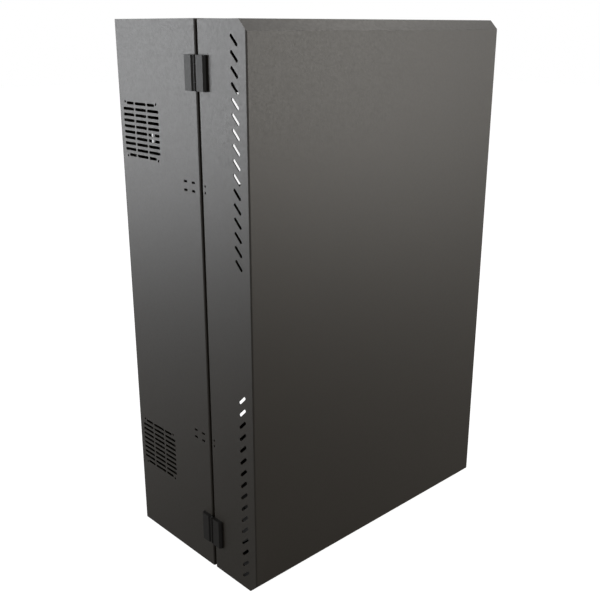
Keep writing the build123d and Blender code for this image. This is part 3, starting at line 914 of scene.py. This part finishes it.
@dataclass
class ThreadedStud:
    """A welded stud with a rolled thread and a chamfered tip."""

    thread: Thread
    length: float
    thread_depth_share: float = 0.45

    def build(self, name: str) -> bpy.types.Object:
        """Builds the stud from its weld at the origin along +Z.

        Args:
            name: the piece's name.

        Returns:
            The stud.
        """
        radius, pitch = self.thread.radius, self.thread.pitch
        root = radius - pitch * self.thread_depth_share
        outline = [(0.0, 0.0), (radius, 0.0), (radius, pitch)]
        height = pitch
        while height + pitch < self.length - pitch:
            outline.append((root, height + pitch * 0.5))
            outline.append((radius, height + pitch))
            height += pitch
        outline += [(root, self.length), (0.0, self.length)]
        piece = Workshop.lathe(name, outline, 16)
        Workshop.smooth(piece, 30)
        return piece


@dataclass
class FastenerFamily:
    """All fasteners of one CAD node, rebuilt in detail on their own seats."""

    node: str
    body: str
    thread: Thread
    slot: str = "zinc_steel"

    def _finish_off(self, places: Places, piece: bpy.types.Object, turn: float) -> None:
        """Sets the piece at its seats and hands the result to the frame.

        Args:
            places: the seats.
            piece: the piece that is repeated.
            turn: largest spin about its own axis, in radians.
        """
        group = places.fill(f"{self.node}_detailed", piece, ZINC, turn)
        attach(group, self.body)
        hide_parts(self.node)
        faces = len(group.data.polygons)
        log.info("%s: %d pieces, %d faces", group.name, len(places.points), faces)

    def screws(self, heads_outward: bool, head_height: float, head_radius: float) -> None:
        """Rebuilds screws that lie along X.

        Args:
            heads_outward: True if the heads face away from the cabinet's middle.
            head_height: height of a head.
            head_radius: radius of a head.
        """
        places = Places([], [])
        solids = Solid.of_node(self.node)
        for solid in solids:
            right = (solid.middle.x > 0) == heads_outward
            seat = solid.middle
            seat.x = solid.high.x - head_height if right else solid.low.x + head_height
            places.points.append(seat)
            places.headings.append(Way.RIGHT if right else Way.LEFT)
        length = solids[0].span(0) - head_height
        screw = PanHeadScrew(self.thread, length, head_radius, head_height)
        self._finish_off(places, screw.build("screw"), 1.4)

    def nuts(self, way: Way) -> None:
        """Rebuilds nuts whose axis lies along one direction.

        Args:
            way: the axis.
        """
        places, solid = self._standing(way)
        across = min(solid.span(index) for index in range(3) if index != way.axis)
        nut = HexNut(self.thread, across, solid.span(way.axis))
        self._finish_off(places, nut.build("nut"), 0.0)

    def studs(self, way: Way) -> None:
        """Rebuilds welded studs that point along one direction.

        Args:
            way: from the weld to the tip.
        """
        places, solid = self._standing(way)
        stud = ThreadedStud(self.thread, solid.span(way.axis))
        self._finish_off(places, stud.build("stud"), 1.0)

    def _standing(self, way: Way) -> tuple[Places, Solid]:
        """Finds the seats of solids that all stand one way.

        Args:
            way: from the foot to the tip.

        Returns:
            The seats and the first solid.
        """
        solids = Solid.of_node(self.node)
        return Places([solid.seat(way) for solid in solids], [way] * len(solids)), solids[0]


@dataclass
class CableGrommets:
    """Rubber grommets of one cable cover: rounded lips and a thin web round the bore."""

    node: str
    slot: str = "grommet_rubber"
    bore: float = 10 * MM
    groove_depth: float = 4.1 * MM
    groove_half: float = 1.0 * MM
    wall: float = 3 * MM
    skin: float = 0.75 * MM
    ease: float = 0.8 * MM
    bead_start: float = 2.2 * MM
    bead_end: float = 3.4 * MM
    round_steps: int = 5

    def _outline(self, lip: float, half: float) -> Outline:
        """Outline of a grommet's section.

        Args:
            lip: outer radius.
            half: half its height.

        Returns:
            Radius and height of each corner.
        """
        groove = lip - self.groove_depth
        inner = groove - self.wall
        skin, ease, sheet = self.skin, self.ease, self.groove_half
        outline = [(self.bore, -skin), (self.bore, skin)]
        outline += [(self.bore + self.bead_start, skin * 2), (self.bore + self.bead_end, skin)]
        outline += [(inner - ease, skin), (inner, skin + ease)]
        outline += self._rounded(inner + ease, half - ease, 180, 90)
        outline += self._rounded(lip - ease, half - ease, 90, 0)
        outline += [(lip, sheet), (groove, sheet), (groove, -sheet), (lip, -sheet)]
        outline += self._rounded(lip - ease, ease - half, 0, -90)
        outline += self._rounded(inner + ease, ease - half, -90, -180)
        outline += [(inner, -skin - ease), (inner - ease, -skin)]
        outline += [(self.bore + self.bead_end, -skin), (self.bore + self.bead_start, -skin * 2)]
        return outline

    def build(self) -> None:
        """Turns the grommets and hands them to the frame."""
        solids = Solid.of_node(self.node)
        outline = self._outline(solids[0].span(0) / 2, solids[0].span(2) / 2)
        places = Places([solid.middle for solid in solids], [Way.UP] * len(solids))
        ring = Workshop.lathe("ring", outline, 56)
        Workshop.smooth(ring, 50)
        group = places.fill(f"{self.node}_moulded", ring, RUBBER, 0.0)
        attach(group, "cabinet")
        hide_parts(self.node)
        log.info("%s: %d faces", group.name, len(group.data.polygons))

    def _rounded(self, x: float, z: float, start: float, end: float) -> Outline:
        """Corner of the outline, as an arc.

        Args:
            x: radius of the arc's centre.
            z: height of the arc's centre.
            start: first angle in degrees.
            end: last angle in degrees.

        Returns:
            Points along the arc.
        """
        points = []
        for step in range(self.round_steps + 1):
            turn = math.radians(start + (end - start) * step / self.round_steps)
            points.append((x + self.ease * math.cos(turn), z + self.ease * math.sin(turn)))
        return points


@dataclass
class DoorGasket:
    """Foam strip round the door's rear rim: a crowned section along a mitred loop."""

    node: str = "door_gasket"
    width: float = 12 * MM
    crown_share: float = 0.3

    def _path_tree(self) -> bpy.types.GeometryNodeTree:
        """Builds the tree that runs a section round a rectangle.

        Returns:
            A tree with inputs Width, Height, Strip Width, Thickness, Crown and Finish.
        """
        inputs = dict.fromkeys(("Width", "Height", "Strip Width", "Thickness", "Crown"), "Float")
        graph, start = Graph.of_geometry("strip_round_frame", {**inputs, "Finish": "Material"})
        path = graph.add(
            "GeometryNodeCurvePrimitiveQuadrilateral",
            {"Width": start.outputs["Width"], "Height": start.outputs["Height"]},
            mode="RECTANGLE",
        )
        section = graph.add(
            "GeometryNodeCurvePrimitiveQuadrilateral",
            {"Width": start.outputs["Thickness"], "Height": start.outputs["Strip Width"]},
            mode="RECTANGLE",
        )
        crowned = graph.add(
            "GeometryNodeFilletCurve",
            {"Curve": section.outputs["Curve"], "Radius": start.outputs["Crown"], "Count": 4},
            mode="POLY",
        )
        swept = graph.add(
            "GeometryNodeCurveToMesh",
            {"Curve": path.outputs["Curve"], "Profile Curve": crowned.outputs["Curve"]},
        )
        graph.end_geometry(swept.outputs["Mesh"], start.outputs["Finish"])
        return graph.tree

    def build(self) -> None:
        """Builds the strip in its place on the door and hands it to the frame."""
        low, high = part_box(self.node)
        thickness = high.y - low.y
        strip = Workshop.link("gasket_strip", bpy.data.meshes.new("gasket_strip"))
        values = {
            "Width": high.x - low.x - self.width,
            "Height": high.z - low.z - self.width,
            "Strip Width": self.width,
            "Thickness": thickness,
            "Crown": thickness * self.crown_share,
            "Finish": FOAM.material(),
        }
        Workshop.run_tree(strip, self._path_tree(), values)
        middle = (low + high) / 2
        shape = bmesh.new()
        shape.from_mesh(strip.data)
        turn = Matrix.Rotation(math.radians(90), 4, "X")
        bmesh.ops.transform(shape, matrix=Matrix.Translation(middle) @ turn, verts=shape.verts)
        bmesh.ops.recalc_face_normals(shape, faces=shape.faces)
        shape.to_mesh(strip.data)
        shape.free()
        Workshop.smooth(strip, 40)
        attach(strip, "door")
        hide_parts(self.node)
        log.info("gasket_strip: %d faces", len(strip.data.polygons))


@dataclass
class EdgeSoftening:
    """Softens the sharp edges of CAD nodes with modifiers and gives each node its finish."""

    default_width: float = 0.22 * MM
    segments: int = 2
    weld_distance: float = 0.002 * MM
    flat_angle: float = 0.4
    edge_angle: float = 38
    slots: dict[str, str] = field(
        default_factory=lambda: {
            item["node"]: item["material_slot"] for item in frame["record"]["subparts"]
        }
    )

    def finish(self, piece: bpy.types.Object, node: str, width: float | None = None) -> None:
        """Gives a piece the finish and the softened edges of a node.

        Args:
            piece: the node's object or a piece that replaces it.
            node: the node's name.
            width: width of its softened edges, or None for the usual one.
        """
        piece.data.materials.clear()
        piece.data.materials.append(FINISH_OF_SLOT[self.slots[node]].material())
        weld = piece.modifiers.new("weld", "WELD")
        weld.merge_threshold = self.weld_distance
        flatten = piece.modifiers.new("flatten", "DECIMATE")
        flatten.decimate_type = "DISSOLVE"
        flatten.angle_limit = math.radians(self.flat_angle)
        soften = piece.modifiers.new("soften", "BEVEL")
        soften.width = width or self.default_width
        soften.segments = self.segments
        soften.limit_method = "ANGLE"
        soften.angle_limit = math.radians(self.edge_angle)
        soften.use_clamp_overlap = True
        soften.harden_normals = False
        even = piece.modifiers.new("even", "WEIGHTED_NORMAL")
        even.keep_sharp = False
        for polygon in piece.data.polygons:
            polygon.use_smooth = True


@dataclass
class RearPanReliefs:
    """Reliefs that clear the rear pan's side flanges from behind the fan grilles.

    Each runs from near the case's side inwards, past the flange's thickness, over a grille.
    """

    node: str = "rear_panel"
    side: float = 348 * MM
    play: float = 1.9 * MM
    depth: float = 6 * MM
    flange_edge: float = 178.5 * MM
    clear_to: float = 189.5 * MM
    grille_heights: tuple[float, float] = (204.5 * MM, 887.5 * MM)
    half_height: float = 62 * MM

    def build(self, softening: EdgeSoftening) -> None:
        """Cuts the reliefs in a copy of the pan and dresses it.

        Args:
            softening: gives the copy its softened edges and its finish.
        """
        shape = bmesh.new()
        shape.from_mesh(frame["nodes"][self.node].data)
        pan = Workshop.from_bmesh("rear_pan", shape)
        for way in (-1, 1):
            for middle in self.grille_heights:
                across = sorted((way * (self.side - self.depth), way * (self.side - self.play)))
                low = Vector((across[0], self.flange_edge, middle - self.half_height))
                high = Vector((across[1], self.clear_to, middle + self.half_height))
                Workshop.cut_box(pan, low, high)
        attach(pan, "cabinet")
        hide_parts(self.node)
        softening.finish(pan, self.node)
        log.info("rear_pan: four reliefs, %d faces", len(pan.data.polygons))


@dataclass(frozen=True)
class SoftBox:
    """A soft box that faces the cabinet: metres and watts."""

    name: str
    place: Rgb
    size: tuple[float, float]
    power: float
    tint: Rgb = (1.0, 1.0, 1.0)
    aim: Rgb = (0.0, 0.0, 0.9)

    def hang(self) -> None:
        """Hangs the soft box in its place."""
        lamp = bpy.data.lights.new(self.name, "AREA")
        lamp.shape = "RECTANGLE"
        lamp.size, lamp.size_y = self.size
        lamp.energy = self.power
        lamp.color = self.tint
        box = Workshop.link(self.name, lamp)
        box.location = self.place
        facing = Vector(self.aim) - Vector(self.place)
        box.rotation_euler = facing.to_track_quat("-Z", "Y").to_euler()


@dataclass
class Studio:
    """Pale floor, soft boxes and the world round the cabinet."""

    floor_reach: float = 14.0
    floor_tones: tuple[float, float] = (0.36, 0.4)
    floor_glow: float = 0.94
    floor_in_gloss: float = 0.08
    room_light: float = 0.12
    soft_boxes: tuple[SoftBox, ...] = (
        SoftBox("left_rear", (-3.0, 3.0, 0.84), (2.2, 2.6), 168, COOL_LIGHT),
        SoftBox("right_front", (2.9, -3.9, 0.88), (2.4, 2.7), 164, WARM_LIGHT),
        SoftBox("right_high", (2.7, -0.1, 3.9), (1.2, 1.2), 22, WARM_LIGHT),
        SoftBox("front_fill", (-3.1, -3.3, 1.1), (1.6, 1.2), 26),
    )

    def floor(self) -> None:
        """Lays the pale floor, which shows white and is weak in the cabinet's gloss."""
        shape = bmesh.new()
        reach = self.floor_reach
        corners = ((-reach, -reach, 0), (reach, -reach, 0), (reach, reach, 0), (-reach, reach, 0))
        shape.faces.new([shape.verts.new(corner) for corner in corners])
        ground = Workshop.from_bmesh("floor", shape)
        made = bpy.data.materials.new("pale_floor")
        made.use_nodes = True
        graph, shader = Graph(made.node_tree), made.node_tree.nodes["Principled BSDF"]
        low, high = ((tone, tone, tone, 1.0) for tone in self.floor_tones)
        graph.link(graph.colours(graph.noise(1.5, 2.0), low, high), shader.inputs["Base Color"])
        shader.inputs["Roughness"].default_value = 0.8
        shader.inputs["Specular IOR Level"].default_value = 0.2
        path = graph.add("ShaderNodeLightPath").outputs
        clear = graph.math("MAXIMUM", path["Is Camera Ray"], path["Is Transmission Ray"])
        gloss = graph.math("MULTIPLY", path["Is Glossy Ray"], self.floor_in_gloss)
        seen = graph.math("MAXIMUM", clear, gloss)
        strength = graph.math("MULTIPLY", seen, self.floor_glow)
        glow = graph.add("ShaderNodeEmission", {"Color": WHITE, "Strength": strength})
        blend = graph.add("ShaderNodeAddShader", {0: shader.outputs[0], 1: glow.outputs[0]})
        graph.link(blend.outputs[0], graph.tree.nodes["Material Output"].inputs["Surface"])
        ground.data.materials.append(made)

    def world(self) -> None:
        """Lights the surroundings evenly and shows them white."""
        world = bpy.data.worlds.new("studio")
        bpy.context.scene.world = world
        world.use_nodes = True
        graph = Graph(world.node_tree)
        light = graph.tree.nodes["Background"]
        light.inputs["Color"].default_value = WHITE
        light.inputs["Strength"].default_value = self.room_light
        white = graph.add("ShaderNodeBackground", {"Color": WHITE, "Strength": 1.0})
        path = graph.add("ShaderNodeLightPath").outputs
        mirrored = graph.math("MAXIMUM", path["Is Glossy Ray"], path["Is Transmission Ray"])
        seen = graph.math("MAXIMUM", path["Is Camera Ray"], mirrored)
        blend = graph.add(
            "ShaderNodeMixShader", {0: seen, 1: light.outputs[0], 2: white.outputs[0]}
        )
        graph.link(blend.outputs[0], graph.tree.nodes["World Output"].inputs["Surface"])

    def build(self) -> None:
        """Builds the floor, the world and the lights."""
        self.floor()
        self.world()
        for soft_box in self.soft_boxes:
            soft_box.hang()
        log.info("studio: floor, world and %d soft boxes", len(self.soft_boxes))


@dataclass
class PhotoCamera:
    """The camera that sees the cabinet as the photograph does."""

    place: Rgb = (-1.2386, -1.2709, 1.0785)
    yaw: float = 43.1714
    pitch: float = 18.1767
    lens: float = 50.0
    sensor: float = 36.0
    nearest: float = 0.05
    farthest: float = 60.0

    def build(self) -> None:
        """Sets the camera up."""
        data = bpy.data.cameras.new("photo_camera")
        data.lens = self.lens
        data.sensor_width = self.sensor
        data.clip_start = self.nearest
        data.clip_end = self.farthest
        camera = Workshop.link("photo_camera", data)
        camera.location = self.place
        camera.rotation_euler = (math.radians(90 - self.pitch), 0, -math.radians(self.yaw))
        bpy.context.scene.camera = camera
        bpy.context.scene.view_settings.view_transform = "Standard"


class Cabinet:
    """The cabinet's sub-assemblies, dressed in order."""

    hinge_edge: float = 0.6 * MM
    screws: tuple[tuple[str, str, Thread, bool, float, float], ...] = (
        ("latch_screws", "cabinet", Thread.M4, True, 2.4 * MM, 3.5 * MM),
        ("keeper_screws", "door", Thread.M4, True, 2.4 * MM, 3.5 * MM),
        ("rail_bolts", "cabinet", Thread.M6, False, 3.3 * MM, 5.5 * MM),
    )
    nuts: tuple[tuple[str, str, Thread, Way], ...] = (
        ("latch_nuts", "cabinet", Thread.M4, Way.LEFT),
        ("keeper_nuts", "door", Thread.M4, Way.LEFT),
        ("rail_nuts", "cabinet", Thread.M6, Way.RIGHT),
        ("hinge_nuts_body", "cabinet", Thread.M5, Way.RIGHT),
        ("hinge_nuts_door", "door", Thread.M5, Way.RIGHT),
        ("cover_nuts_top", "cabinet", Thread.M5, Way.DOWN),
        ("cover_nuts_bottom", "cabinet", Thread.M5, Way.UP),
        ("earth_nuts", "cabinet", Thread.M6, Way.FRONT),
    )
    studs: tuple[tuple[str, str, Thread, Way], ...] = (
        ("cover_studs_top", "cabinet", Thread.M5, Way.DOWN),
        ("cover_studs_bottom", "cabinet", Thread.M5, Way.UP),
        ("earth_stud", "cabinet", Thread.M6, Way.FRONT),
    )
    grommets: tuple[str, ...] = ("grommets_top", "grommets_bottom")

    def sheet_metal(self) -> None:
        """Dresses every CAD node that keeps its own shape, then the rear pan."""
        rebuilt = {row[0] for row in self.screws + self.nuts + self.studs}
        rebuilt.update(self.grommets, (DoorGasket.node, RearPanReliefs.node))
        softening = EdgeSoftening()
        for node in sorted(set(frame["nodes"]) - rebuilt):
            width = self.hinge_edge if "_leaf_" in node else None
            softening.finish(frame["nodes"][node], node, width)
        RearPanReliefs().build(softening)
        log.info("softened %d nodes", len(frame["nodes"]) - len(rebuilt))

    def fasteners(self) -> None:
        """Rebuilds the screws, nuts and studs in detail."""
        for node, body, thread, heads_outward, head_height, head_radius in self.screws:
            family = FastenerFamily(node, body, thread)
            family.screws(heads_outward, head_height, head_radius)
        for node, body, thread, way in self.nuts:
            FastenerFamily(node, body, thread).nuts(way)
        for node, body, thread, way in self.studs:
            FastenerFamily(node, body, thread).studs(way)

    def soft_parts(self) -> None:
        """Rebuilds the grommets and the gasket."""
        for node in self.grommets:
            CableGrommets(node).build()
        DoorGasket().build()

    def build(self) -> None:
        """Builds every sub-assembly."""
        self.sheet_metal()
        self.fasteners()
        self.soft_parts()


def main() -> None:
    """Builds the cabinet, the studio and the camera in order."""
    logging.basicConfig(level=logging.INFO, format="%(name)s: %(message)s")
    Cabinet().build()
    Studio().build()
    PhotoCamera().build()


if __name__ == "__main__":
    main()
